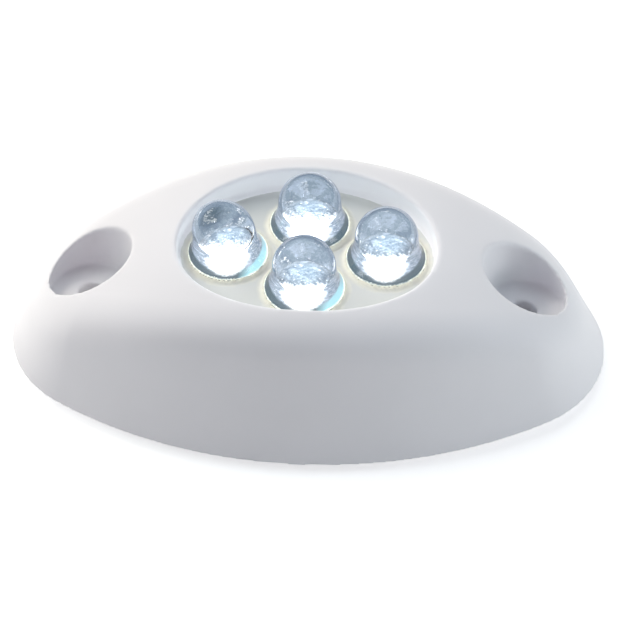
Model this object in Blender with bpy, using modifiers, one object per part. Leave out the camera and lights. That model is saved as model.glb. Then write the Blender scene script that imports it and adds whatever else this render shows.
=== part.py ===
"""Surface-mounted underwater pool light with four clear round LEDs.

A moulded lens-shaped housing holds an LED carrier in an oval recess. The LED leads run through
sealing resin to a driver board in the back chamber, which an O-ring, a screwed cover and a
wall gasket close. Metres, +Z up: the light lies on its back, the wall side is z = 0, +X is its
length and -Y its front long side. The origin is the middle of the wall side.
"""

import math

import bmesh
import bpy
from mathutils import Matrix, Vector

MM = 0.001
GAP = 0.3 * MM  # clearance left between pieces that touch

# Housing, measured from its own back edge
LENGTH = 78.6 * MM
WIDTH = 44.8 * MM
END_RADIUS = 15.6 * MM
CREST_HEIGHT = 20.45 * MM
ARCH_RADIUS = 60.1 * MM  # of the roof along the length
CROWN_RADIUS = 70.0 * MM  # of the roof across the width
SIDE_DRAFT = math.radians(15.1)
END_DRAFT = math.radians(27.0)
SIDE_EDGE = 4.0 * MM  # setback of the rounded top edge at mid length
END_EDGE = 3.8 * MM  # the same at the two ends

# Gasket and back cover
GASKET_THICKNESS = 0.9 * MM
GASKET_INSET = 1.6 * MM
HOUSING_BACK = GASKET_THICKNESS + GAP
COVER_HALF = (19.4 * MM, 17.4 * MM)
COVER_THICKNESS = 2.2 * MM
COVER_POWER = 2.6  # of the superellipse that the cover, seal and chamber follow

# Screw holes that fasten the light to the wall
MOUNT_X = 28.15 * MM
HEAD_BORE_RADIUS = 5.48 * MM
SHANK_HOLE_RADIUS = 1.8 * MM
SEAT_Z = HOUSING_BACK + 7.3 * MM

# Oval recess
RIM_HALF = (16.67 * MM, 12.8 * MM)
RECESS_Y = -0.35 * MM  # of the recess middle, towards the front
RIM_LIP = 0.5 * MM
WALL_FOOT_INSET = 0.2 * MM  # of the recess wall's foot from the rim
FLOOR_Z = 16.4 * MM
CARRIER_HALF_X = 15.9 * MM
CARRIER_THICKNESS = 1.8 * MM

# LEDs: +X and +Y places in the recess
LED_PLACES = {
    "left": (-10.2 * MM, 0.0),
    "right": (10.2 * MM, 0.0),
    "back": (0.0, 5.83 * MM),
    "front": (0.0, -5.83 * MM),
}
DOME_RADIUS = 4.0 * MM
DOME_CENTRE_Z = 20.57 * MM
FOOT_RADIUS = 5.2 * MM
FOOT_EDGE = 0.4 * MM
LEAD_PITCH = 2.54 * MM
LEAD_HALF = 0.25 * MM
CUP_Z = (17.8 * MM, 19.0 * MM)
CUP_RADII = (1.3 * MM, 1.9 * MM)  # outside, at the bottom and at the mouth
CUP_DEPTH = 0.7 * MM
CHIP_RADIUS = 0.45 * MM

# Chamber behind the LEDs
CHAMBER_HALF = (12.0 * MM, 10.0 * MM)
SEAL_HALF = (14.2 * MM, 12.2 * MM)
SEAL_CORD_RADIUS = 0.7 * MM
SEAL_WIDTH_HALF = SEAL_CORD_RADIUS + GAP
RESIN_Z = (11.8 * MM, 14.0 * MM)
BOARD_Z = (8.2 * MM, 9.8 * MM)
LEAD_BOTTOM_Z = 7.4 * MM
STANDOFF_X = 4.6 * MM
STANDOFF_RADIUS = 0.9 * MM

# Cover screws, gland and terminals
SCREW_PLACE = (14.0 * MM, 10.3 * MM)
SCREW_HEAD_RADIUS = 1.8 * MM
SCREW_HEAD_HEIGHT = 1.0 * MM
SCREW_HEAD_ROUND = 0.45 * MM
SCREW_SHANK_RADIUS = 0.8 * MM
SCREW_POINT = (0.35 * MM, 1.2 * MM)  # radius of the blunt tip, length of the taper
SCREW_LENGTH = 6.6 * MM
CROSS_RECESS = (2.1 * MM, 0.5 * MM, 0.6 * MM)  # span, width, depth
GLAND_BORE_RADIUS = 1.6 * MM
GLAND_NECK_RADIUS = 2.7 * MM
GLAND_FLANGE_RADIUS = 3.8 * MM
GLAND_FLANGE_THICKNESS = 1.1 * MM
GLAND_SHOULDER = 1.3 * MM  # height above the cover where the nose begins
GLAND_NOSE = (0.7 * MM, 2.4 * MM)  # wall at the nose, height above the cover
TERMINAL_PLACES = ((-3.2 * MM, -6.4 * MM), (3.2 * MM, -6.4 * MM))
TERMINAL_RADIUS = 0.45 * MM
TERMINAL_COLLAR = 0.6 * MM
TERMINAL_TAIL = 2.2 * MM
RESISTOR_PLACES = ((-5.6 * MM, 2.8 * MM), (-5.6 * MM, 5.6 * MM))
RESISTOR_SIZE = (3.2 * MM, 1.6 * MM, 0.7 * MM)
RECTIFIER_PLACE = (5.4 * MM, 4.6 * MM)
RECTIFIER_SIZE = (6.0 * MM, 4.6 * MM, 2.4 * MM)

COVER_TOP = HOUSING_BACK + COVER_THICKNESS
CARRIER_BOTTOM = FLOOR_Z - CARRIER_THICKNESS
RECESS_SQUASH = RIM_HALF[1] / RIM_HALF[0]
LED_BOTTOM = FLOOR_Z + GAP

# colour, roughness, metallic
FINISHES = {
    "white_plastic": ((0.86, 0.87, 0.89), 0.42, 0.0),
    "cream_plastic": ((0.78, 0.77, 0.66), 0.5, 0.0),
    "clear_epoxy": ((0.80, 0.90, 0.96), 0.05, 0.0),
    "amber_resin": ((0.62, 0.55, 0.36), 0.3, 0.0),
    "tinned_steel": ((0.75, 0.75, 0.74), 0.3, 1.0),
    "phosphor": ((0.93, 0.90, 0.45), 0.6, 0.0),
    "board_green": ((0.06, 0.27, 0.13), 0.45, 0.0),
    "black_plastic": ((0.03, 0.03, 0.035), 0.45, 0.0),
    "grey_plastic": ((0.55, 0.56, 0.58), 0.5, 0.0),
    "black_rubber": ((0.035, 0.035, 0.04), 0.8, 0.0),
    "white_foam": ((0.80, 0.80, 0.78), 0.85, 0.0),
    "red_rubber": ((0.45, 0.07, 0.05), 0.6, 0.0),
    "steel": ((0.62, 0.62, 0.63), 0.28, 1.0),
    "brass": ((0.78, 0.60, 0.28), 0.3, 1.0),
}


def clear_objects():
    for old in list(bpy.data.objects):
        bpy.data.objects.remove(old)


def collection(name):
    made = bpy.data.collections.new(name)
    bpy.context.scene.collection.children.link(made)
    return made


def material(name):
    colour, roughness, metallic = FINISHES[name]
    made = bpy.data.materials.get(name) or bpy.data.materials.new(name)
    made.use_nodes = True
    shader = made.node_tree.nodes["Principled BSDF"]
    shader.inputs["Base Color"].default_value = (*colour, 1.0)
    shader.inputs["Roughness"].default_value = roughness
    shader.inputs["Metallic"].default_value = metallic
    return made


def add_part(obj, name, finish):
    """Names a finished object, gives it its material and puts it with the parts."""
    obj.name = name
    obj.data.materials.clear()
    obj.data.materials.append(material(finish))
    PARTS.objects.link(obj)
    return obj


def add_cutter(obj):
    obj.name = "cutter"
    obj.hide_render = True
    obj.display_type = "WIRE"
    CUTTERS.objects.link(obj)
    return obj


def cut(obj, cutter, operation="DIFFERENCE"):
    step = obj.modifiers.new("cut", "BOOLEAN")
    step.operation = operation
    step.solver = "EXACT"
    step.object = cutter


def smooth(obj, degrees=35.0):
    obj.data.shade_smooth()
    obj.data.set_sharp_from_angle(angle=math.radians(degrees))
    return obj


def new_object(mesh, place=(0.0, 0.0, 0.0)):
    obj = bpy.data.objects.new(mesh.name, mesh)
    obj.location = place
    return obj


def from_bmesh(bm, name="shape"):
    bmesh.ops.recalc_face_normals(bm, faces=bm.faces)
    mesh = bpy.data.meshes.new(name)
    bm.to_mesh(mesh)
    bm.free()
    return mesh


def cylinder(radius, low, high, centre=(0.0, 0.0), sides=32, top_radius=None):
    """An upright cylinder or cone from low to high, with its origin on its lower end."""
    bm = bmesh.new()
    bmesh.ops.create_cone(
        bm,
        cap_ends=True,
        segments=sides,
        radius1=radius,
        radius2=radius if top_radius is None else top_radius,
        depth=high - low,
        matrix=Matrix.Translation((0.0, 0.0, (high - low) / 2)),
    )
    return new_object(from_bmesh(bm), (centre[0], centre[1], low))


def block(size, middle, edge=0.0):
    """A box with its origin at its middle, its edges rounded by edge."""
    bm = bmesh.new()
    bmesh.ops.create_cube(bm, size=1.0)
    bmesh.ops.scale(bm, vec=size, verts=bm.verts)
    if edge:
        bmesh.ops.bevel(bm, geom=bm.edges[:], offset=edge, segments=2, profile=0.5, affect="EDGES")
    return new_object(from_bmesh(bm), middle)


def arc(centre, radius, start, end, steps):
    """Points (r, z) along an arc, both ends included, angles in degrees from +r."""
    angles = [math.radians(start + (end - start) * i / steps) for i in range(steps + 1)]
    return [(centre[0] + radius * math.cos(a), centre[1] + radius * math.sin(a)) for a in angles]


def bezier(start, handle, end, steps):
    """Points along a quadratic curve, both ends included."""
    points = []
    for i in range(steps + 1):
        u = i / steps
        weights = ((1 - u) ** 2, 2 * u * (1 - u), u * u)
        points.append(
            tuple(sum(w * p[k] for w, p in zip(weights, (start, handle, end))) for k in range(len(start)))
        )
    return points


def turned(profile, place, steps, closed=False):
    """A Screw solid from (r, z) points that run down the outer side, about a vertical axis."""
    mesh = bpy.data.meshes.new("profile")
    edges = [(i, i + 1) for i in range(len(profile) - 1)]
    if closed:
        edges.append((len(profile) - 1, 0))
    mesh.from_pydata([(r, 0.0, z) for r, z in profile], edges, [])
    obj = new_object(mesh, place)
    screw = obj.modifiers.new("turn", "SCREW")
    screw.axis = "Z"
    screw.angle = math.tau
    screw.steps = steps
    screw.render_steps = steps
    screw.use_merge_vertices = True
    screw.merge_threshold = 0.01 * MM
    screw.use_smooth_shade = True
    return obj


def circle(centre, radius, count=24):
    angles = [math.tau * (i + 0.5) / count for i in range(count)]
    return [(centre[0] + radius * math.cos(a), centre[1] + radius * math.sin(a)) for a in angles]


def superellipse(half_x, half_y, power, count=48):
    """Points round an oval that is squarer than an ellipse where power is over 2."""
    points = []
    for i in range(count):
        angle = math.tau * (i + 0.5) / count
        c, s = math.cos(angle), math.sin(angle)
        x = half_x * math.copysign(abs(c) ** (2 / power), c)
        y = half_y * math.copysign(abs(s) ** (2 / power), s)
        points.append((x, y))
    return points


def loft(rings):
    """A closed solid through rings of points, its first and last rings filled."""
    bm = bmesh.new()
    made = [[bm.verts.new(point) for point in ring] for ring in rings]
    count = len(made[0])
    for lower, upper in zip(made, made[1:]):
        for i in range(count):
            j = (i + 1) % count
            bm.faces.new((lower[i], lower[j], upper[j], upper[i]))
    bm.faces.new(made[0])
    bm.faces.new(made[-1])
    return new_object(from_bmesh(bm))


def plate(outlines, low, high):
    """A flat plate from low to high: the first outline is its edge and the others are holes."""
    curve = bpy.data.curves.new("outline", "CURVE")
    curve.dimensions = "2D"
    curve.fill_mode = "BOTH"
    curve.extrude = (high - low) / 2
    for points in outlines:
        spline = curve.splines.new("POLY")
        spline.points.add(len(points) - 1)
        for target, (x, y) in zip(spline.points, points):
            target.co = (x, y, 0.0, 1.0)
        spline.use_cyclic_u = True
    return mesh_of_curve(curve, (0.0, 0.0, (low + high) / 2))


def ring_cord(points, radius, z):
    """A closed round cord along points, such as an O-ring."""
    curve = bpy.data.curves.new("ring", "CURVE")
    curve.dimensions = "3D"
    curve.bevel_depth = radius
    curve.bevel_resolution = 2
    spline = curve.splines.new("POLY")
    spline.points.add(len(points) - 1)
    for target, (x, y) in zip(spline.points, points):
        target.co = (x, y, 0.0, 1.0)
    spline.use_cyclic_u = True
    return mesh_of_curve(curve, (0.0, 0.0, z))


def mesh_of_curve(curve, place):
    """A mesh object with the shape of a curve, its caps welded, at place."""
    guide = bpy.data.objects.new("guide", curve)
    guide.location = place
    bpy.context.scene.collection.objects.link(guide)
    bpy.context.view_layer.update()
    evaluated = guide.evaluated_get(bpy.context.evaluated_depsgraph_get())
    mesh = bpy.data.meshes.new_from_object(evaluated)
    bm = bmesh.new()
    bm.from_mesh(mesh)
    bmesh.ops.remove_doubles(bm, verts=bm.verts, dist=0.001 * MM)
    bmesh.ops.recalc_face_normals(bm, faces=bm.faces)
    bm.to_mesh(mesh)
    bm.free()
    obj = bpy.data.objects.new("flat", mesh)
    obj.matrix_world = guide.matrix_world.copy()
    bpy.data.objects.remove(guide)
    return obj


def base_outline(side_steps=26, end_steps=14):
    """Stations (point, outward normal) round the back edge: two long arcs and two end arcs."""
    end_x = LENGTH / 2 - END_RADIUS
    side_radius = (end_x**2 + (WIDTH / 2) ** 2 - END_RADIUS**2) / (WIDTH - 2 * END_RADIUS)
    side_y = side_radius - WIDTH / 2
    turn = math.atan2(side_y, end_x)
    arcs = (
        ((end_x, 0.0), END_RADIUS, -turn, turn, end_steps),
        ((0.0, -side_y), side_radius, turn, math.pi - turn, side_steps),
        ((-end_x, 0.0), END_RADIUS, math.pi - turn, math.pi + turn, end_steps),
        ((0.0, side_y), side_radius, math.pi + turn, math.tau - turn, side_steps),
    )
    stations = []
    for centre, radius, start, end, steps in arcs:
        for i in range(steps):
            angle = start + (end - start) * i / steps
            normal = Vector((math.cos(angle), math.sin(angle)))
            stations.append((Vector(centre) + radius * normal, normal))
    return stations


def inset_outline(distance):
    return [tuple(point - normal * distance) for point, normal in base_outline()]


def roof_height(x, y):
    """Height of the arched and crowned roof above the housing's back edge."""
    arch = CREST_HEIGHT - ARCH_RADIUS + math.sqrt(ARCH_RADIUS**2 - x * x)
    return arch - y * y / (2 * CROWN_RADIUS)


def wall_section(point, normal):
    """Points from the back edge up the drafted wall and round the soft top edge."""
    draft = SIDE_DRAFT * normal.y**2 + END_DRAFT * normal.x**2
    height = CREST_HEIGHT
    for _ in range(12):
        corner = point - normal * math.tan(draft) * height
        height = roof_height(*corner)
    wall = math.hypot(height, height * math.tan(draft))
    edge = min(SIDE_EDGE * normal.y**2 + END_EDGE * normal.x**2, 0.75 * wall)
    below = corner.lerp(point, edge / wall)
    inner = corner - normal * edge
    start = (*below, height * (1 - edge / wall))
    end = (*inner, roof_height(*inner))
    return [(*point, 0.0), *bezier(start, (*corner, height), end, 5)]


def housing_loft():
    """The closed outer shape: wall sections round the outline, then rings over the roof."""
    sections = [wall_section(point, normal) for point, normal in base_outline()]
    for section in sections:
        x, y, _ = section[-1]
        for share in (0.8, 0.6, 0.4):
            section.append((x * share, y * share, roof_height(x * share, y * share)))
    body = loft([[section[k] for section in sections] for k in range(len(sections[0]))])
    body.location.z = HOUSING_BACK
    return body


def recess_oval(half_x):
    """Points round the recess, or round an oval of the same shape inside it."""
    return [(x, y + RECESS_Y) for x, y in superellipse(half_x, half_x * RECESS_SQUASH, 2.0, 56)]


def recess_cutter():
    """The oval recess: carrier seat, upright wall and a small lip that follows the roof."""

    def ring(inset, height):
        """Points inset from the rim, at a height that is given or found at each point."""
        oval = recess_oval(RIM_HALF[0] - inset)
        return [(x, y, height(x, y) if callable(height) else height) for x, y in oval]

    def under_roof(depth):
        return lambda x, y: HOUSING_BACK + roof_height(x, y) - depth

    seat_inset = RIM_HALF[0] - CARRIER_HALF_X - GAP
    rings = [
        ring(-RIM_LIP, HOUSING_BACK + CREST_HEIGHT + RIM_LIP),
        ring(-RIM_LIP, under_roof(0.0)),
        ring(-0.3 * RIM_LIP, under_roof(0.3 * RIM_LIP)),
        ring(0.0, under_roof(RIM_LIP)),
        ring(WALL_FOOT_INSET, FLOOR_Z + RIM_LIP),
        ring(seat_inset, FLOOR_Z),
        ring(seat_inset, CARRIER_BOTTOM - GAP),
    ]
    return loft(rings)


def make_housing():
    housing = add_part(housing_loft(), "housing", "white_plastic")
    cut(housing, add_cutter(recess_cutter()))
    below = -1 * MM
    rebate = superellipse(COVER_HALF[0] + GAP, COVER_HALF[1] + GAP, COVER_POWER)
    cut(housing, add_cutter(plate([rebate], below, COVER_TOP + GAP)))
    chamber = superellipse(*CHAMBER_HALF, COVER_POWER)
    cut(housing, add_cutter(plate([chamber], COVER_TOP, CARRIER_BOTTOM)))
    groove = [
        superellipse(SEAL_HALF[0] + side, SEAL_HALF[1] + side, COVER_POWER)
        for side in (SEAL_WIDTH_HALF, -SEAL_WIDTH_HALF)
    ]
    groove_top = COVER_TOP + GAP + 2 * SEAL_CORD_RADIUS + GAP
    cut(housing, add_cutter(plate(groove, COVER_TOP, groove_top)))
    for side in (-1, 1):
        place = (side * MOUNT_X, 0.0)
        cut(housing, add_cutter(cylinder(HEAD_BORE_RADIUS, SEAT_Z, 30 * MM, place, 36)))
        cut(housing, add_cutter(cylinder(SHANK_HOLE_RADIUS, below, SEAT_Z + 1 * MM, place, 20)))
    for place in screw_places():
        hole_top = HOUSING_BACK + GAP + SCREW_LENGTH + GAP
        cut(housing, add_cutter(cylinder(SCREW_SHANK_RADIUS + GAP, COVER_TOP, hole_top, place, 12)))
    smooth(housing, 28.0)


def screw_places():
    x, y = SCREW_PLACE
    return [(-x, -y), (x, -y), (x, y), (-x, y)]


def make_gasket():
    holes = [circle((side * MOUNT_X, 0.0), SHANK_HOLE_RADIUS + 0.4 * MM, 20) for side in (-1, 1)]
    cord_hole = circle((0.0, 0.0), GLAND_FLANGE_RADIUS, 24)
    gasket = plate([inset_outline(GASKET_INSET), cord_hole, *holes], 0.0, GASKET_THICKNESS)
    add_part(gasket, "mounting_gasket", "white_foam")


def make_back_cover():
    edge = superellipse(*COVER_HALF, COVER_POWER)
    gland_hole = circle((0.0, 0.0), GLAND_NECK_RADIUS + GAP, 20)
    holes = [circle(place, SCREW_SHANK_RADIUS + GAP, 12) for place in screw_places()]
    cover = plate([edge, gland_hole, *holes], HOUSING_BACK, COVER_TOP)
    add_part(cover, "back_cover", "grey_plastic")
    for place in screw_places():
        pocket_top = HOUSING_BACK + GAP + SCREW_HEAD_HEIGHT + GAP
        pocket = cylinder(SCREW_HEAD_RADIUS + GAP, -1 * MM, pocket_top, place, 16)
        cut(cover, add_cutter(pocket))


def make_cover_seal():
    seal = ring_cord(
        superellipse(*SEAL_HALF, COVER_POWER, 40), SEAL_CORD_RADIUS, COVER_TOP + GAP + SEAL_CORD_RADIUS
    )
    add_part(smooth(seal), "cover_seal", "red_rubber")


def make_cover_screws():
    """Pan-head screws that point up, with a cross recess in the head."""
    head_z = HOUSING_BACK + GAP
    profile = [
        (0.0, SCREW_LENGTH),
        (SCREW_POINT[0], SCREW_LENGTH),
        (SCREW_SHANK_RADIUS, SCREW_LENGTH - SCREW_POINT[1]),
        (SCREW_SHANK_RADIUS, SCREW_HEAD_HEIGHT),
        (SCREW_HEAD_RADIUS, SCREW_HEAD_HEIGHT),
        (SCREW_HEAD_RADIUS, SCREW_HEAD_ROUND),
        (SCREW_HEAD_RADIUS - SCREW_HEAD_ROUND, 0.0),
        (0.0, 0.0),
    ]
    span, width, depth = CROSS_RECESS
    for number, (x, y) in enumerate(screw_places(), 1):
        screw = add_part(turned(profile, (x, y, head_z), 14), f"cover_screw_{number}", "steel")
        for size in ((span, width, 2 * depth), (width, span, 2 * depth)):
            cut(screw, add_cutter(block(size, (x, y, head_z))))


def make_gland():
    """A rubber grommet through the cover, with the bore that the supply cord enters by."""
    low = HOUSING_BACK + GAP
    flange_low = COVER_TOP + GAP
    nose_wall, nose_height = GLAND_NOSE
    profile = [
        (GLAND_BORE_RADIUS, flange_low + nose_height),
        (GLAND_BORE_RADIUS + nose_wall, flange_low + nose_height),
        (GLAND_NECK_RADIUS, flange_low + GLAND_SHOULDER),
        (GLAND_FLANGE_RADIUS, flange_low + GLAND_FLANGE_THICKNESS),
        (GLAND_FLANGE_RADIUS, flange_low),
        (GLAND_NECK_RADIUS, flange_low),
        (GLAND_NECK_RADIUS, low),
        (GLAND_BORE_RADIUS, low),
    ]
    add_part(turned(profile, (0.0, 0.0, 0.0), 20, closed=True), "cord_gland", "black_rubber")


def lead_places(led):
    x, y = led
    return (x, y - LEAD_PITCH / 2), (x, y + LEAD_PITCH / 2)


def lead_holes(radius):
    return [circle(place, radius, 8) for led in LED_PLACES.values() for place in lead_places(led)]


def make_carrier():
    """The oval plate the LEDs stand on, with two standoffs that hold the board away."""
    hole = LEAD_HALF * math.sqrt(2) + GAP
    carrier = plate([recess_oval(CARRIER_HALF_X), *lead_holes(hole)], CARRIER_BOTTOM, FLOOR_Z)
    add_part(carrier, "lamp_carrier", "cream_plastic")
    for side in (-1, 1):
        foot = BOARD_Z[1] + GAP
        leg = cylinder(STANDOFF_RADIUS, foot, CARRIER_BOTTOM + 1 * MM, (side * STANDOFF_X, 0.0), 16)
        cut(carrier, add_cutter(leg), "UNION")


def make_resin():
    hole = LEAD_HALF * math.sqrt(2) + GAP
    edge = superellipse(CHAMBER_HALF[0] - GAP, CHAMBER_HALF[1] - GAP, COVER_POWER, 40)
    legs = [circle((side * STANDOFF_X, 0.0), STANDOFF_RADIUS + GAP, 16) for side in (-1, 1)]
    add_part(plate([edge, *legs, *lead_holes(hole)], *RESIN_Z), "sealing_resin", "amber_resin")


def make_board():
    edge = superellipse(CHAMBER_HALF[0] - 2 * GAP, CHAMBER_HALF[1] - 2 * GAP, COVER_POWER, 40)
    pins = [circle(place, TERMINAL_RADIUS + GAP, 12) for place in TERMINAL_PLACES]
    holes = lead_holes(LEAD_HALF * math.sqrt(2) + GAP)
    add_part(plate([edge, *pins, *holes], *BOARD_Z), "circuit_board", "board_green")


def make_board_parts():
    """Two chip resistors, a bridge rectifier and the two pins for the supply wires."""
    under = BOARD_Z[0] - GAP
    for number, place in enumerate(RESISTOR_PLACES, 1):
        chip = block(RESISTOR_SIZE, (*place, under - RESISTOR_SIZE[2] / 2), 0.1 * MM)
        add_part(chip, f"resistor_{number}", "black_plastic")
    rectifier = block(RECTIFIER_SIZE, (*RECTIFIER_PLACE, under - RECTIFIER_SIZE[2] / 2), 0.3 * MM)
    add_part(rectifier, "bridge_rectifier", "black_plastic")
    shoulder = under - TERMINAL_COLLAR
    profile = [
        (0.0, BOARD_Z[1] + TERMINAL_COLLAR),
        (TERMINAL_RADIUS, BOARD_Z[1] + TERMINAL_COLLAR),
        (TERMINAL_RADIUS, under),
        (2 * TERMINAL_RADIUS, under),
        (2 * TERMINAL_RADIUS, shoulder),
        (TERMINAL_RADIUS, shoulder),
        (TERMINAL_RADIUS, shoulder - TERMINAL_TAIL),
        (0.0, shoulder - TERMINAL_TAIL),
    ]
    for number, (x, y) in enumerate(TERMINAL_PLACES, 1):
        add_part(turned(profile, (x, y, 0.0), 12), f"terminal_pin_{number}", "brass")


def lens_profile():
    """Dome, then a body that widens to a bell-shaped foot, as heights above the underside."""
    dome_z = DOME_CENTRE_Z - LED_BOTTOM
    shoulder = (DOME_RADIUS + 0.08 * MM, dome_z - 0.6 * MM)
    waist = (DOME_RADIUS + 0.3 * MM, 1.5 * MM)
    return [
        *arc((0.0, dome_z), DOME_RADIUS, 90.0, 0.0, 8),
        *bezier(shoulder, waist, (FOOT_RADIUS, FOOT_EDGE), 3),
        (FOOT_RADIUS, 0.0),
        (0.0, 0.0),
    ]


def make_leds():
    """Four LEDs: clear lens, post with the reflector cup, plain post and phosphor-covered chip."""
    slot_width = 2 * (CUP_RADII[1] + GAP)
    slot_low, slot_high = LED_BOTTOM - 1 * MM, CUP_Z[1] + GAP
    slot = (slot_width, slot_width, slot_high - slot_low)
    for name, (x, y) in LED_PLACES.items():
        lens = turned(lens_profile(), (x, y, LED_BOTTOM), 24)
        add_part(lens, f"led_lens_{name}", "clear_epoxy")
        cut(lens, add_cutter(block(slot, (x, y, (slot_low + slot_high) / 2))))
        make_posts(name, (x, y))


def post(place, high):
    width = 2 * LEAD_HALF
    middle = (LEAD_BOTTOM_Z + high) / 2
    return block((width, width, high - LEAD_BOTTOM_Z), (*place, middle))


def make_posts(name, led):
    """The cup stands over the LED's axis, on one post, and the plain post ends under it."""
    cup_place, plain_place = lead_places(led)
    low, high = CUP_Z
    cup_post = add_part(post(cup_place, low + 0.3 * MM), f"led_cup_post_{name}", "tinned_steel")
    cup = cylinder(CUP_RADII[0], low, high, led, 16, CUP_RADII[1])
    cut(cup_post, add_cutter(cup), "UNION")
    floor = high - CUP_DEPTH
    wall = 0.3 * MM
    bowl = cylinder(CUP_RADII[0] - wall, floor, high + wall, led, 16, CUP_RADII[1])
    cut(cup_post, add_cutter(bowl))
    add_part(post(plain_place, low - GAP), f"led_plain_post_{name}", "tinned_steel")
    chip = cylinder(CHIP_RADIUS, floor + 0.15 * MM, floor + 0.4 * MM, led, 8)
    add_part(chip, f"led_chip_{name}", "phosphor")


clear_objects()
PARTS = collection("underwater_pool_light")
CUTTERS = collection("cutters")
make_housing()
make_gasket()
make_back_cover()
make_cover_seal()
make_cover_screws()
make_gland()
make_carrier()
make_resin()
make_board()
make_board_parts()
make_leds()
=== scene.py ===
"""Underwater pool light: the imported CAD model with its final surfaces, floor, light and camera."""

import math

import bmesh
import bpy
from mathutils import Matrix, Vector


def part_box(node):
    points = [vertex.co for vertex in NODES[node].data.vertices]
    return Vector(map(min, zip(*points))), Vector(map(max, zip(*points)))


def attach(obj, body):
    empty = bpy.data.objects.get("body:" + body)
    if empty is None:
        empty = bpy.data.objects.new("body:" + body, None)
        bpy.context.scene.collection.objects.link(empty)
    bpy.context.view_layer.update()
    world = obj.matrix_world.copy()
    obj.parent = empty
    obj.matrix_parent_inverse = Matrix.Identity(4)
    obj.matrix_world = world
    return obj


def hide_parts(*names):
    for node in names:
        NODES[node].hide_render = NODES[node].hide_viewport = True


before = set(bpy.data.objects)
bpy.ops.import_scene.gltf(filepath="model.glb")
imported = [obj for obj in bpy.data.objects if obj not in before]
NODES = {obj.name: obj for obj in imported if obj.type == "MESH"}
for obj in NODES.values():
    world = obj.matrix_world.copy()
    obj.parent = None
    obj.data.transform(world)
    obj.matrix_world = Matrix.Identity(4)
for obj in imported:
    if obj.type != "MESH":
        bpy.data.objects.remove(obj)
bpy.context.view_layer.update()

MM = 0.001
LED_NAMES = ("left", "right", "back", "front")

# ---------------------------------------------------------------- shape values

HOUSING_LOW, HOUSING_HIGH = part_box("housing")
BACK_Z = HOUSING_LOW.z
LENGTH = HOUSING_HIGH.x - HOUSING_LOW.x
WIDTH = HOUSING_HIGH.y - HOUSING_LOW.y
END_RADIUS = 15.6 * MM
CREST_HEIGHT = 20.45 * MM  # above the housing's back edge
ARCH_RADIUS = 60.1 * MM
CROWN_RADIUS = 70.0 * MM
SIDE_DRAFT = math.radians(15.1)
END_DRAFT = math.radians(27.0)
SIDE_EDGE = 4.0 * MM
END_EDGE = 3.8 * MM

RIM_HALF = (16.67 * MM, 12.8 * MM)
RECESS = (0.0, -0.35 * MM)
RIM_POWER = 2.08
RIM_LIP = 0.5 * MM
MOUNT_X = 28.15 * MM
HEAD_BORE_RADIUS = 5.48 * MM
HEAD_BORE_LIP = 0.35 * MM
SHANK_HOLE_RADIUS = 1.8 * MM
SEAT_Z = BACK_Z + 7.3 * MM

COVER_LOW, COVER_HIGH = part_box("back_cover")
COVER_HALF = (COVER_HIGH.x, COVER_HIGH.y)
COVER_POWER = 2.6
CHAMBER_HALF = (12.0 * MM, 10.0 * MM)
SEAL_LOW, SEAL_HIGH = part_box("cover_seal")
SEAL_RADIUS = (SEAL_HIGH.z - SEAL_LOW.z) / 2
SEAL_HALF = (SEAL_HIGH.x - SEAL_RADIUS, SEAL_HIGH.y - SEAL_RADIUS)
CARRIER_LOW, CARRIER_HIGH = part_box("lamp_carrier")
CARRIER_TOP = CARRIER_HIGH.z
CARRIER_BOTTOM = CARRIER_TOP - 1.8 * MM
CARRIER_HALF = (CARRIER_HIGH.x, (CARRIER_HIGH.y - CARRIER_LOW.y) / 2)
GAP = 0.3 * MM
COVER_SCREW_HOLE = 1.1 * MM
VOXEL = 0.26 * MM

DOME_RADIUS = 4.08 * MM
FOOT_RADIUS = 5.2 * MM
FOOT_EDGE = 0.4 * MM
FOOT_CORNER = 0.12 * MM
LEAN = {"left": -0.12}  # the LED's sideways lean, as a share of height
GLOW_RADIUS = 5.12 * MM  # of the lit disc under the LED

FILM_RISE = (0.9 * MM, 1.3 * MM)  # height and width of the film's rise at the recess wall
FOOT_RISE = (0.55 * MM, 0.55 * MM)  # and round each LED's foot


# ---------------------------------------------------------------- mesh helpers


def link(obj):
    bpy.context.scene.collection.objects.link(obj)
    return obj


def object_of(bm, name):
    """A linked object made from a bmesh, its faces pointing out."""
    bmesh.ops.recalc_face_normals(bm, faces=bm.faces)
    mesh = bpy.data.meshes.new(name)
    bm.to_mesh(mesh)
    bm.free()
    return link(bpy.data.objects.new(name, mesh))


def bezier(start, handle, end, steps):
    points = []
    for i in range(steps + 1):
        u = i / steps
        weights = ((1 - u) ** 2, 2 * u * (1 - u), u * u)
        axes = zip(start, handle, end)
        points.append(tuple(sum(w * p for w, p in zip(weights, axis)) for axis in axes))
    return points


def arc(centre, radius, start, end, steps):
    angles = [math.radians(start + (end - start) * i / steps) for i in range(steps + 1)]
    return [(centre[0] + radius * math.cos(a), centre[1] + radius * math.sin(a)) for a in angles]


def superellipse(half_x, half_y, power, count):
    points = []
    for i in range(count):
        angle = math.tau * (i + 0.5) / count
        c, s = math.cos(angle), math.sin(angle)
        x = half_x * math.copysign(abs(c) ** (2 / power), c)
        y = half_y * math.copysign(abs(s) ** (2 / power), s)
        points.append((x, y))
    return points


def rings_object(rings, name, hollow=False):
    """A closed loft through rings of points: ends capped, or if hollow, last ring joined to first."""
    bm = bmesh.new()
    made = [[bm.verts.new(p) for p in ring] for ring in rings]
    count = len(made[0])
    for lower, upper in zip(made, made[1:] + made[:1] if hollow else made[1:]):
        for i in range(count):
            j = (i + 1) % count
            bm.faces.new((lower[i], lower[j], upper[j], upper[i]))
    if not hollow:
        bm.faces.new(made[0])
        bm.faces.new(made[-1])
    return object_of(bm, name)


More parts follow.
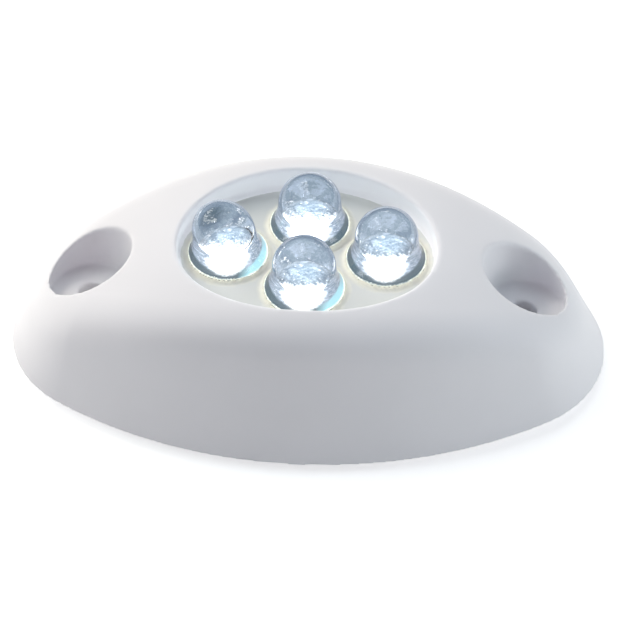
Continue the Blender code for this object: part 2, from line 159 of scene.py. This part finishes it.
def turned(profile, steps, name):
    """A solid of revolution from (r, z) points that start and end on the vertical axis."""
    bm = bmesh.new()
    turns = [math.tau * i / steps for i in range(steps)]
    rings = []
    for r, z in profile:
        ring = [(r * math.cos(a), r * math.sin(a), z) for a in turns] if r > 0.0 else [(0.0, 0.0, z)]
        rings.append([bm.verts.new(point) for point in ring])
    for upper, lower in zip(rings, rings[1:]):
        for i in range(steps):
            j = (i + 1) % steps
            if len(upper) == 1:
                bm.faces.new((upper[0], lower[i], lower[j]))
            elif len(lower) == 1:
                bm.faces.new((upper[i], lower[0], upper[j]))
            else:
                bm.faces.new((upper[i], lower[i], lower[j], upper[j]))
    return object_of(bm, name)


def cut(obj, cutters):
    """Takes each cutter out of obj, then removes the cutters."""
    for cutter in cutters:
        step = obj.modifiers.new("cut", "BOOLEAN")
        step.operation = "DIFFERENCE"
        step.solver = "EXACT"
        step.object = cutter
    settle(obj)
    for cutter in cutters:
        bpy.data.objects.remove(cutter)


def settle(obj):
    """Replaces obj's mesh by what its modifiers give."""
    bpy.context.view_layer.update()
    evaluated = obj.evaluated_get(bpy.context.evaluated_depsgraph_get())
    mesh = bpy.data.meshes.new_from_object(evaluated)
    obj.modifiers.clear()
    obj.data = mesh


def smooth(obj, degrees=40.0):
    obj.data.shade_smooth()
    obj.data.set_sharp_from_angle(angle=math.radians(degrees))


# ---------------------------------------------------------------- materials

PURE_WHITE = (1.0, 1.0, 1.0)
# Painted light seen in the LEDs: dark blue painted shade at the sides of each foot, cyan painted light
# on its right side, thin cream painted highlights at its edge and a mottled grey-blue painted glow.
SIDE_SHADE_BLUE = (0.06, 0.09, 0.11)
SIDE_LIGHT_CYAN = (0.32, 0.55, 0.61)
CREAM_EDGE_HIGHLIGHT = (0.85, 0.86, 0.74)
GLOW_MOTTLE = ((0.32, (0.11, 0.145, 0.20)), (0.5, (0.22, 0.27, 0.33)), (0.68, (0.45, 0.51, 0.60)))


class Shader:
    """A Principled material with short calls for the nodes that drive it."""

    def __init__(self, name, colour, roughness, **values):
        self.material = bpy.data.materials.new(name)
        self.material.use_nodes = True
        self.tree = self.material.node_tree
        self.main = self.tree.nodes["Principled BSDF"]
        self.main.inputs["Base Color"].default_value = (*colour, 1.0)
        self.main.inputs["Roughness"].default_value = roughness
        for key, value in values.items():
            self.main.inputs[key.replace("_", " ")].default_value = value
        self.place = self.tree.nodes.new("ShaderNodeTexCoord").outputs["Object"]

    def noise(self, size, detail=3.0, rough=0.55):
        """Noise with features of about size metres, from 0 to 1."""
        node = self.tree.nodes.new("ShaderNodeTexNoise")
        node.inputs["Scale"].default_value = 1.0 / size
        node.inputs["Detail"].default_value = detail
        node.inputs["Roughness"].default_value = rough
        self.tree.links.new(self.place, node.inputs["Vector"])
        return node.outputs["Fac"]

    def span(self, source, low, high, out_low, out_high):
        node = self.tree.nodes.new("ShaderNodeMapRange")
        limits = {"From Min": low, "From Max": high, "To Min": out_low, "To Max": out_high}
        for key, value in limits.items():
            node.inputs[key].default_value = value
        self.tree.links.new(source, node.inputs["Value"])
        return node.outputs["Result"]

    def ramp(self, source, stops):
        node = self.tree.nodes.new("ShaderNodeValToRGB")
        ramp = node.color_ramp
        while len(ramp.elements) < len(stops):
            ramp.elements.new(0.5)
        for element, (at, colour) in zip(ramp.elements, stops):
            element.position = at
            element.color = (*colour, 1.0)
        self.tree.links.new(source, node.inputs["Fac"])
        return node.outputs["Color"]

    def drive(self, key, source):
        self.tree.links.new(source, self.main.inputs[key])

    def bump(self, source, strength, depth):
        node = self.tree.nodes.new("ShaderNodeBump")
        node.inputs["Strength"].default_value = strength
        node.inputs["Distance"].default_value = depth
        self.tree.links.new(source, node.inputs["Height"])
        previous = self.main.inputs["Normal"]
        if previous.is_linked:
            self.tree.links.new(previous.links[0].from_socket, node.inputs["Normal"])
        self.tree.links.new(node.outputs["Normal"], self.main.inputs["Normal"])


def scaled(colour, share):
    return tuple(c * share for c in colour)


def moulded(name, colour, roughness, grain=0.35 * MM, **values):
    """Moulded plastic or rubber: a fine even grain, faint shade changes and uneven gloss."""
    s = Shader(name, colour, roughness, **values)
    broad = s.noise(14 * MM, 2.0)
    s.drive("Base Color", s.ramp(broad, ((0.3, scaled(colour, 0.975)), (0.7, colour))))
    s.drive("Roughness", s.span(s.noise(2.5 * MM, 4.0), 0.3, 0.7, roughness - 0.05, roughness + 0.06))
    s.bump(s.noise(grain, 2.0), 0.12, 0.02 * MM)
    s.bump(s.noise(6 * MM, 2.0), 0.1, 0.05 * MM)
    return s.material


def metal(name, colour, roughness):
    s = Shader(name, colour, roughness, Metallic=1.0)
    s.drive("Base Color", s.ramp(s.noise(0.8 * MM), ((0.3, scaled(colour, 0.85)), (0.7, colour))))
    s.drive("Roughness", s.span(s.noise(0.4 * MM, 4.0), 0.3, 0.7, roughness - 0.08, roughness + 0.1))
    s.bump(s.noise(0.15 * MM), 0.1, 0.01 * MM)
    return s.material


def clear_epoxy():
    """LED epoxy: nearly clear with a cool tint, painted shade that darkens it towards its outline, and
    slight casting ripples.
    """
    s = Shader("clear_epoxy", (0.93, 0.97, 1.0), 0.0, Transmission_Weight=1.0, IOR=1.5)
    # Painted shade: the tint turns deep blue where the surface turns away from the view, darkening the
    # dome's outline.
    edge = s.tree.nodes.new("ShaderNodeLayerWeight")
    edge.inputs["Blend"].default_value = 0.5
    stops = ((0.0, (0.97, 0.98, 1.0)), (0.5, (0.88, 0.91, 0.96)), (0.9, (0.20, 0.23, 0.38)))
    s.drive("Base Color", s.ramp(edge.outputs["Facing"], stops))
    s.drive("Roughness", s.span(s.noise(1.2 * MM), 0.4, 0.8, 0.0, 0.03))
    s.bump(s.noise(0.9 * MM, 2.0), 0.3, 0.05 * MM)
    return s.material


def add(s, first, second, share):
    """first + share * (second - 0.5)"""
    node = s.tree.nodes.new("ShaderNodeMath")
    node.operation = "MULTIPLY_ADD"
    centred = s.span(second, 0.0, 1.0, -0.5, 0.5)
    s.tree.links.new(centred, node.inputs[0])
    node.inputs[1].default_value = share
    s.tree.links.new(first, node.inputs[2])
    return node.outputs["Value"]


def mix(s, share, first, second):
    node = s.tree.nodes.new("ShaderNodeMix")
    node.data_type = "RGBA"
    s.tree.links.new(share, node.inputs["Factor"])
    s.tree.links.new(first, node.inputs["A"])
    s.tree.links.new(second, node.inputs["B"])
    return node.outputs["Result"]


def along(s, direction):
    """Distance along a direction in the piece's own space."""
    node = s.tree.nodes.new("ShaderNodeVectorMath")
    node.operation = "DOT_PRODUCT"
    s.tree.links.new(s.place, node.inputs[0])
    node.inputs[1].default_value = direction
    return node.outputs["Value"]


def reach(s, shift=(0.0, 0.0, 0.0), stretch=(1.0, 1.0, 0.0)):
    """Distance from the piece's own upright axis, after a stretch and a shift."""
    moved = s.tree.nodes.new("ShaderNodeVectorMath")
    moved.operation = "MULTIPLY_ADD"
    moved.inputs[1].default_value = stretch
    moved.inputs[2].default_value = shift
    s.tree.links.new(s.place, moved.inputs[0])
    length = s.tree.nodes.new("ShaderNodeVectorMath")
    length.operation = "LENGTH"
    s.tree.links.new(moved.outputs["Vector"], length.inputs[0])
    return length.outputs["Value"]


def least(s, first, second):
    node = s.tree.nodes.new("ShaderNodeMath")
    node.operation = "MINIMUM"
    s.tree.links.new(first, node.inputs[0])
    s.tree.links.new(second, node.inputs[1])
    return node.outputs["Value"]


def flat_colour(s, colour):
    node = s.tree.nodes.new("ShaderNodeRGB")
    node.outputs[0].default_value = (*colour, 1.0)
    return node.outputs[0]


def painted_glints(s, colour, size, low, high):
    """Painted glints: small bright points scattered over a colour."""
    share = s.span(s.noise(size, 2.0, 0.6), low, high, 0.0, 1.0)
    return mix(s, share, colour, flat_colour(s, PURE_WHITE))


def lit_underside(name, right_side):
    """A painted glow: a white core to the front, mottled grey-blue round it, painted dark shade at the
    sides with right_side's colour on the right, and a thin painted cream highlight at the edge.
    """
    s = Shader(name, (0.3, 0.35, 0.4), 0.4)
    radius = add(s, s.span(reach(s), 0.0, GLOW_RADIUS, 0.0, 1.0), s.noise(0.3 * MM, 4.0, 0.7), 0.08)
    # Mottled grey-blue painted glow with painted glints.
    colour = painted_glints(s, s.ramp(s.noise(0.45 * MM, 5.0, 0.7), GLOW_MOTTLE), 0.2 * MM, 0.60, 0.72)
    wide = reach(s, (0.0, -0.5 * MM, 0.0), (1.2, 1.0, 0.0))
    wide = add(s, wide, s.noise(0.4 * MM, 4.0, 0.7), 0.8 * MM)
    # Painted shade at the sides: dark blue on the left and right_side on the right, which is painted
    # cyan light for the left and front LEDs.
    right = s.span(along(s, (1.0, 0.0, 0.0)), 1.5 * MM, 3.0 * MM, 0.0, 1.0)
    sides = mix(s, right, flat_colour(s, SIDE_SHADE_BLUE), flat_colour(s, right_side))
    colour = mix(s, s.span(wide, 3.9 * MM, 4.4 * MM, 0.0, 1.0), colour, sides)
    # Painted highlight: a thin cream line at the disc's edge.
    colour = mix(s, s.span(radius, 0.955, 0.985, 0.0, 1.0), colour, flat_colour(s, CREAM_EDGE_HIGHLIGHT))
    # Painted glow: a white core set towards the front, glowing brightest.
    middle = reach(s, (0.0, 1.4 * MM, 0.0), (1.12, 0.88, 0.0))
    middle = add(s, middle, s.noise(0.35 * MM, 4.0, 0.7), 1.0 * MM)
    core = s.span(middle, 1.4 * MM, 2.6 * MM, 1.0, 0.0)
    colour = mix(s, core, colour, flat_colour(s, PURE_WHITE))
    s.drive("Base Color", colour)
    s.drive("Emission Color", colour)
    s.drive("Emission Strength", s.span(core, 0.0, 1.0, 0.45, 2.4))
    s.bump(s.noise(0.3 * MM), 0.3, 0.03 * MM)
    return s.material


def lit_halo(name, low, high):
    """A painted glow: white up to a ragged edge from low to high, reaching higher on the front side,
    then mottled grey-blue with painted glints over the crown.
    """
    s = Shader(name, (0.5, 0.55, 0.6), 0.4)
    # Painted light: the gradient leans so the white reaches higher on the front (-y) side than at the
    # back.
    height = s.span(along(s, (0.0, 0.6, 1.0)), 0.2 * MM, 3.4 * MM, 0.0, 1.0)
    ragged = add(s, height, s.noise(0.35 * MM, 5.0, 0.75), 1.0)
    colour = painted_glints(s, s.ramp(s.noise(0.45 * MM, 5.0, 0.7), GLOW_MOTTLE), 0.2 * MM, 0.62, 0.74)
    lit = s.span(ragged, low, high, 1.0, 0.0)
    colour = mix(s, lit, colour, flat_colour(s, PURE_WHITE))
    s.drive("Base Color", colour)
    s.drive("Emission Color", colour)
    s.drive("Emission Strength", s.span(lit, 0.0, 1.0, 0.3, 2.2))
    return s.material


MATERIALS = {
    "white": moulded("white_abs", (0.80, 0.797, 0.825), 0.42),
    "cream": moulded("cream_plastic", (0.72, 0.70, 0.58), 0.45),
    "glass": clear_epoxy(),
    "resin": moulded("amber_resin", (0.45, 0.36, 0.18), 0.25),
    "tin": metal("tinned_lead", (0.80, 0.81, 0.82), 0.22),
    # Two copies of the painted halo glow: the white reaches higher in halo_high.
    "halo_low": lit_halo("lit_halo_low", 0.36, 0.62),
    "halo_high": lit_halo("lit_halo_high", 0.5, 0.8),
    "glow_shaded_sides": lit_underside("lit_underside_shaded_sides", SIDE_SHADE_BLUE),
    "glow_cyan_lit_right": lit_underside("lit_underside_cyan_lit_right", SIDE_LIGHT_CYAN),
    "foam": moulded("foam_gasket", (0.78, 0.78, 0.76), 0.85),
    "board": moulded("board_mask", (0.03, 0.16, 0.07), 0.35),
    "black_plastic": moulded("black_plastic", (0.025, 0.025, 0.028), 0.45),
    "brass": metal("brass_pin", (0.72, 0.52, 0.24), 0.28),
    "black_rubber": moulded("black_rubber", (0.03, 0.03, 0.033), 0.75),
    "red_rubber": moulded("red_rubber", (0.42, 0.05, 0.035), 0.6),
    "grey": moulded("grey_cover", (0.42, 0.43, 0.45), 0.45),
    "steel": metal("stainless", (0.62, 0.62, 0.63), 0.3),
}


def paint(obj, key):
    obj.data.materials.clear()
    obj.data.materials.append(MATERIALS[key])


# ---------------------------------------------------------------- housing


def base_outline(side_steps=90, end_steps=44):
    """Stations (point, outward normal) round the back edge: two long arcs and two end arcs."""
    end_x = LENGTH / 2 - END_RADIUS
    side_radius = (end_x**2 + (WIDTH / 2) ** 2 - END_RADIUS**2) / (WIDTH - 2 * END_RADIUS)
    side_y = side_radius - WIDTH / 2
    turn = math.atan2(side_y, end_x)
    arcs = (
        ((end_x, 0.0), END_RADIUS, -turn, turn, end_steps),
        ((0.0, -side_y), side_radius, turn, math.pi - turn, side_steps),
        ((-end_x, 0.0), END_RADIUS, math.pi - turn, math.pi + turn, end_steps),
        ((0.0, side_y), side_radius, math.pi + turn, math.tau - turn, side_steps),
    )
    stations = []
    for centre, radius, start, end, steps in arcs:
        for i in range(steps):
            angle = start + (end - start) * i / steps
            normal = Vector((math.cos(angle), math.sin(angle)))
            stations.append((Vector(centre) + radius * normal, normal))
    return stations


def roof_height(x, y):
    """Height of the roof above the floor plane."""
    arch = BACK_Z + CREST_HEIGHT - ARCH_RADIUS + math.sqrt(max(ARCH_RADIUS**2 - x * x, 0.0))
    return arch - y * y / (2 * CROWN_RADIUS)


def wall_section(point, normal):
    draft = SIDE_DRAFT * normal.y**2 + END_DRAFT * normal.x**2
    height = CREST_HEIGHT
    for _ in range(12):
        corner = point - normal * math.tan(draft) * height
        height = roof_height(*corner) - BACK_Z
    wall = math.hypot(height, height * math.tan(draft))
    edge = min(SIDE_EDGE * normal.y**2 + END_EDGE * normal.x**2, 0.75 * wall)
    below = corner.lerp(point, edge / wall)
    inner = corner - normal * edge
    start = (*below, BACK_Z + height * (1 - edge / wall))
    end = (*inner, roof_height(*inner))
    foot = (*point, BACK_Z)
    wall_points = [tuple(Vector(foot).lerp(Vector(start), k / 4)) for k in range(4)]
    return wall_points + bezier(start, (*corner, BACK_Z + height), end, 12)


def housing_body():
    sections = [wall_section(point, normal) for point, normal in base_outline()]
    shares = [1 - k / 16 for k in range(1, 16)]
    for section in sections:
        x, y, _ = section[-1]
        section += [(x * s, y * s, roof_height(x * s, y * s)) for s in shares]
    rings = [[section[k] for section in sections] for k in range(len(sections[0]))]
    return rings_object(rings, "housing_shell")


def mouth_cutter(centre, half, power, lip, low, count=120):
    """An upright oval well whose mouth opens in a small rounded lip that follows the roof."""
    over = lip + 0.1 * MM
    top = BACK_Z + CREST_HEIGHT + 3 * MM
    mouth = superellipse(half[0] + over, half[1] + over, power, count)
    rings = [[(centre[0] + x, centre[1] + y, top) for x, y in mouth]]
    angles = [math.pi / 2 * k / 6 for k in range(7)]
    lips = [(lip * (1 - math.sin(a)), lip * (1 - math.cos(a))) for a in angles]
    for spread, depth in [(over, -0.1 * MM), *lips]:
        ring = []
        for x, y in superellipse(half[0] + spread, half[1] + spread, power, count):
            px, py = centre[0] + x, centre[1] + y
            ring.append((px, py, roof_height(px, py) - depth))
        rings.append(ring)
    rings.append([(p[0], p[1], low) for p in rings[-1]])
    return rings_object(rings, "well")


def prism(points, low, high):
    return rings_object([[(x, y, high) for x, y in points], [(x, y, low) for x, y in points]], "prism")


def disc(centre, radius, low, high, count=48):
    points = superellipse(radius, radius, 2.0, count)
    return prism([(centre[0] + x, centre[1] + y) for x, y in points], low, high)


def ring_groove(half, side, low, high):
    outer = superellipse(half[0] + side, half[1] + side, COVER_POWER, 96)
    inner = superellipse(half[0] - side, half[1] - side, COVER_POWER, 96)
    walls = ((outer, low), (outer, high), (inner, high), (inner, low))
    rings = [[(x, y, z) for x, y in oval] for oval, z in walls]
    return rings_object(rings, "groove", hollow=True)


def screw_centres():
    places = []
    for number in (1, 2, 3, 4):
        low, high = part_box(f"cover_screw_{number}")
        places.append(((low + high) / 2, high.z))
    return places


def make_housing():
    """The moulded shell: voxel remesh and a light smooth give every edge its moulded radius."""
    shell = housing_body()
    below = -2 * MM
    ledge = COVER_HIGH.z + GAP
    cutters = [mouth_cutter(RECESS, RIM_HALF, RIM_POWER, RIM_LIP, CARRIER_TOP + 0.6 * MM)]
    seat = superellipse(CARRIER_HALF[0] + GAP, CARRIER_HALF[1] + GAP, 2.0, 120)
    seat = [(x, y + RECESS[1]) for x, y in seat]
    cutters.append(prism(seat, CARRIER_BOTTOM - GAP, CARRIER_TOP + 1 * MM))
    rebate = superellipse(COVER_HALF[0] + GAP, COVER_HALF[1] + GAP, COVER_POWER, 96)
    cutters.append(prism(rebate, below, ledge))
    cutters.append(prism(superellipse(*CHAMBER_HALF, COVER_POWER, 96), ledge - 1 * MM, CARRIER_BOTTOM))
    cutters.append(ring_groove(SEAL_HALF, SEAL_RADIUS + GAP, ledge - 1 * MM, SEAL_HIGH.z + GAP))
    for side in (-1, 1):
        place = (side * MOUNT_X, 0.0)
        half = (HEAD_BORE_RADIUS, HEAD_BORE_RADIUS)
        cutters.append(mouth_cutter(place, half, 2.0, HEAD_BORE_LIP, SEAT_Z, 96))
        cutters.append(disc(place, SHANK_HOLE_RADIUS, below, SEAT_Z + 1 * MM))
    for place, top in screw_centres():
        cutters.append(disc(place, COVER_SCREW_HOLE, ledge - 1 * MM, top + GAP, 24))
    cut(shell, cutters)
    remesh = shell.modifiers.new("voxels", "REMESH")
    remesh.mode = "VOXEL"
    remesh.voxel_size = VOXEL
    soften = shell.modifiers.new("soften", "SMOOTH")
    soften.factor = 0.5
    soften.iterations = 6
    settle(shell)
    shell.data.shade_smooth()
    paint(shell, "white")
    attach(shell, "root")
    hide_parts("housing")


# ---------------------------------------------------------------- LEDs


def led_axis(name):
    low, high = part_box(f"led_lens_{name}")
    return (low + high) / 2, low.z, high.z


def stand(obj, name):
    """Puts a piece made about the LED's own axis on its foot, with its lean."""
    middle, low, _ = led_axis(name)
    lean = LEAN.get(name, 0.0)
    for vertex in obj.data.vertices:
        vertex.co.x += lean * vertex.co.z
    obj.location = (middle.x, middle.y, low)
    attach(obj, "root")


def make_lens(name):
    """The clear body: a ball dome on a body that widens to a bell-shaped foot."""
    _, low, high = led_axis(name)
    top = high - low
    dome_z = top - DOME_RADIUS
    shoulder = (DOME_RADIUS + 0.06 * MM, dome_z - 0.6 * MM)
    waist = (DOME_RADIUS + 0.25 * MM, 1.5 * MM)
    profile = [
        *arc((0.0, dome_z), DOME_RADIUS, 90.0, 0.0, 24),
        *bezier(shoulder, waist, (FOOT_RADIUS - 0.15 * MM, FOOT_EDGE), 14),
        *arc((FOOT_RADIUS - FOOT_CORNER, FOOT_EDGE - FOOT_CORNER), FOOT_CORNER, 60.0, 0.0, 3),
        (FOOT_RADIUS, 0.0),
        (0.0, 0.0),
    ]
    profile[0] = (0.0, top)
    lens = turned(profile, 72, f"led_body_{name}")
    smooth(lens, 50.0)
    lens.visible_shadow = False
    paint(lens, "glass")
    stand(lens, name)
    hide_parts(f"led_lens_{name}")


def make_glow(name):
    """The lit underside of the lens: a thin disc whose painted glow and painted shade change from axis
    to edge.
    """
    edge = GLOW_RADIUS / MM
    profile = [(0.0, 0.1), (4.9, 0.1), (5.06, 0.16), (edge, 0.08), (5.06, 0.04), (0.0, 0.04)]
    glow = turned([(r * MM, z * MM) for r, z in profile], 72, f"led_glow_{name}")
    # The left and front LEDs get painted cyan light on the right of the foot. The others get painted
    # shade on both sides.
    paint(glow, "glow_cyan_lit_right" if name in ("left", "front") else "glow_shaded_sides")
    stand(glow, name)


def make_halo(name):
    """The lit epoxy round the reflector cup: a small bell with a painted glow, white low down and
    blue-grey on top.
    """
    _, low, _ = led_axis(name)
    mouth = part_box(f"led_cup_post_{name}")[1].z - low
    crown = mouth + 0.7 * MM
    profile = [
        *bezier((0.0, crown), (1.7 * MM, crown), (2.0 * MM, mouth - 0.1 * MM), 12),
        (1.98 * MM, mouth - 0.4 * MM),
        (1.45 * MM, mouth - 1.1 * MM),
        (1.35 * MM, 0.3 * MM),
        (0.0, 0.3 * MM),
    ]
    halo = turned(profile, 48, f"led_halo_{name}")
    smooth(halo, 60.0)
    paint(halo, "halo_high" if name in ("left", "back") else "halo_low")
    stand(halo, name)
    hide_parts(f"led_chip_{name}")


def film_surface():
    """Light grey, with a painted cream pool of the LEDs' light near their feet."""
    s = Shader("recess_film", (0.70, 0.70, 0.68), 0.4)
    nearest = None
    for name in LED_NAMES:
        middle = led_axis(name)[0]
        distance = reach(s, (-middle.x, -middle.y, 0.0))
        nearest = least(s, nearest, distance) if nearest else distance
    # Painted light: the colour turns cream within a ragged ring round each LED's foot.
    ragged = add(s, nearest, s.noise(1.2 * MM), 0.8 * MM)
    share = s.span(ragged, FOOT_RADIUS, FOOT_RADIUS + 1 * MM, 1.0, 0.0)
    grey, cream = flat_colour(s, (0.62, 0.635, 0.625)), flat_colour(s, (0.80, 0.785, 0.67))
    s.drive("Base Color", mix(s, share, grey, cream))
    s.drive("Roughness", s.span(s.noise(2.5 * MM, 4.0), 0.3, 0.7, 0.35, 0.5))
    s.bump(s.noise(0.5 * MM, 2.0), 0.12, 0.02 * MM)
    return s.material


def make_floor_film():
    """The film of sealant over the recess floor, drawn up at the wall and round each LED's foot."""
    centres = [led_axis(name)[0].xy for name in LED_NAMES]
    half_x, half_y = RIM_HALF[0] + 0.06 * MM, RIM_HALF[1] + 0.06 * MM
    base, under = CARRIER_TOP + 0.08 * MM, CARRIER_TOP + 0.02 * MM

    def height(x, y):
        share = abs(x / half_x) ** RIM_POWER + abs((y - RECESS[1]) / half_y) ** RIM_POWER
        wall = max(0.0, (1 - share ** (1 / RIM_POWER)) * (half_x + half_y) / 2)
        rise = FILM_RISE[0] * max(0.0, 1 - wall / FILM_RISE[1]) ** 2
        for centre in centres:
            beyond = math.hypot(x - centre[0], y - centre[1]) - FOOT_RADIUS
            if beyond > -0.05 * MM:
                rise = max(rise, FOOT_RISE[0] * max(0.0, 1 - beyond / FOOT_RISE[1]) ** 2)
        return base + rise

    count, steps = 220, 70
    rings = []
    for k in range(steps):
        share = 1 - k / steps
        oval = superellipse(half_x * share, half_y * share, RIM_POWER, count)
        rings.append([(x, y + RECESS[1], height(x, y + RECESS[1])) for x, y in oval])
    rings.insert(0, [(x, y, under) for x, y, _ in rings[0]])
    film = rings_object(rings, "recess_film")
    film.data.shade_smooth()
    film.data.materials.append(film_surface())
    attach(film, "root")


# ---------------------------------------------------------------- carried-over CAD nodes

CARRIED = {
    "lamp_carrier": "cream",
    "sealing_resin": "resin",
    "circuit_board": "board",
    "resistor_1": "black_plastic",
    "resistor_2": "black_plastic",
    "bridge_rectifier": "black_plastic",
    "terminal_pin_1": "brass",
    "terminal_pin_2": "brass",
    "cord_gland": "black_rubber",
    "back_cover": "grey",
    "cover_seal": "red_rubber",
    "mounting_gasket": "foam",
    **{f"cover_screw_{i}": "steel" for i in (1, 2, 3, 4)},
    **{f"led_cup_post_{n}": "tin" for n in LED_NAMES},
    **{f"led_plain_post_{n}": "tin" for n in LED_NAMES},
}


def carry_over():
    for node, key in CARRIED.items():
        paint(NODES[node], key)
        smooth(NODES[node], 35.0)


# ---------------------------------------------------------------- floor, light and camera


def make_floor():
    """A pale floor that glows like a light table, and under it the sheet that bounces light."""
    sheets = (("floor", -0.05 * MM, 0.93, 0.5), ("bounce", -0.5 * MM, 0.72, 0.0))
    for name, height, shade, glow in sheets:
        bm = bmesh.new()
        bmesh.ops.create_circle(bm, cap_ends=True, segments=96, radius=3.0)
        sheet = object_of(bm, name)
        sheet.location.z = height
        s = Shader(f"pale_{name}", (shade, shade, shade), 0.7, Emission_Strength=glow)
        s.main.inputs["Emission Color"].default_value = (*PURE_WHITE, 1.0)
        s.drive("Roughness", s.span(s.noise(30 * MM), 0.3, 0.7, 0.65, 0.75))
        sheet.data.materials.append(s.material)
        sheet.visible_diffuse = sheet.visible_shadow = name == "bounce"
        sheet.visible_camera = name == "floor"
        sheet.visible_transmission = False


def softbox(name, direction, size, power, colour):
    """A square area light that looks at the middle of the object."""
    data = bpy.data.lights.new(name, "AREA")
    data.shape = "RECTANGLE"
    data.size = data.size_y = size
    data.energy = power
    data.color = colour
    lamp = link(bpy.data.objects.new(name, data))
    way = Vector(direction).normalized()
    lamp.location = Vector((0.0, 0.0, 10 * MM)) + way * SOFTBOX_DISTANCE
    lamp.rotation_euler = way.to_track_quat("Z", "Y").to_euler()
    lamp.visible_glossy = False
    lamp.visible_transmission = False
    return lamp


SOFTBOX_DISTANCE = 0.7
LED_WATTS = 0.0006
# Softboxes: elevation and azimuth from the object in degrees, then red, green and blue watts
SOFTBOXES = {
    "key": (35, 135, (3.42, 3.12, 2.82)),
    "left": (35, 180, (1.90, 2.02, 1.97)),
    "top_back": (60, 90, (1.22, 1.28, 1.32)),
    "right_low": (12, 0, (2.16, 2.10, 2.10)),
    "right": (35, 0, (0.35, 0.51, 0.62)),
    "front": (35, 270, (0.68, 0.60, 0.74)),
    "front_right": (12, 315, (0.42, 0.57, 0.49)),
}


def make_light():
    for name, (elevation, azimuth, watts) in SOFTBOXES.items():
        rise, turn = math.radians(elevation), math.radians(azimuth)
        way = (math.cos(rise) * math.cos(turn), math.cos(rise) * math.sin(turn), math.sin(rise))
        power = max(watts)
        softbox(name, way, 0.4, power, scaled(watts, 1 / power))
    spark = softbox("spark", (-0.35, -0.25, 0.9), 0.05, 0.12, PURE_WHITE)
    spark.visible_glossy = True
    for name in LED_NAMES:
        middle, _, high = led_axis(name)
        data = bpy.data.lights.new(f"led_light_{name}", "POINT")
        data.energy = LED_WATTS
        data.color = (0.85, 0.97, 1.0)
        data.shadow_soft_size = 1.5 * MM
        lamp = link(bpy.data.objects.new(f"led_light_{name}", data))
        lamp.location = (middle.x, middle.y, high - 2.5 * MM)
        lamp.visible_glossy = False
        lamp.visible_transmission = False
        lamp.visible_camera = False
    world = bpy.data.worlds.new("studio")
    world.use_nodes = True
    sky = world.node_tree.nodes["Background"]
    sky.inputs["Color"].default_value = (0.97, 0.98, 1.0, 1.0)
    sky.inputs["Strength"].default_value = 0.14
    bpy.context.scene.world = world
    world.cycles_visibility.diffuse = False


CAMERA_ELEVATION, CAMERA_AZIMUTH, CAMERA_ROLL = 45.33, 3.69, -0.26
CAMERA_DISTANCE = 404.7 * MM
CAMERA_LENS = 180.9
CAMERA_AIM = (0.29 * MM, -3.05 * MM)  # right and up from the middle of the housing


def make_camera():
    """A long lens from the front, a little to the right, looking down on the recess."""
    elevation, azimuth = math.radians(CAMERA_ELEVATION), math.radians(CAMERA_AZIMUTH)
    roll = math.radians(CAMERA_ROLL)
    level = math.cos(elevation)
    back = Vector((math.sin(azimuth) * level, -math.cos(azimuth) * level, math.sin(elevation)))
    side = Vector((math.cos(azimuth), math.sin(azimuth), 0.0))
    above = back.cross(side)
    right = side * math.cos(roll) + above * math.sin(roll)
    up = above * math.cos(roll) - side * math.sin(roll)
    aim = Vector((0.0, 0.0, BACK_Z + 10 * MM)) + right * CAMERA_AIM[0] + up * CAMERA_AIM[1]
    data = bpy.data.cameras.new("camera")
    data.sensor_width = 36.0
    data.lens = CAMERA_LENS
    data.clip_start = 0.05
    camera = link(bpy.data.objects.new("camera", data))
    turn = Matrix((right, up, back)).transposed()
    camera.matrix_world = Matrix.Translation(aim + back * CAMERA_DISTANCE) @ turn.to_4x4()
    bpy.context.scene.camera = camera


make_housing()
make_floor_film()
for led in LED_NAMES:
    make_lens(led)
    make_glow(led)
    make_halo(led)
carry_over()
make_floor()
make_light()
make_camera()
bpy.context.scene.view_settings.view_transform = "Standard"
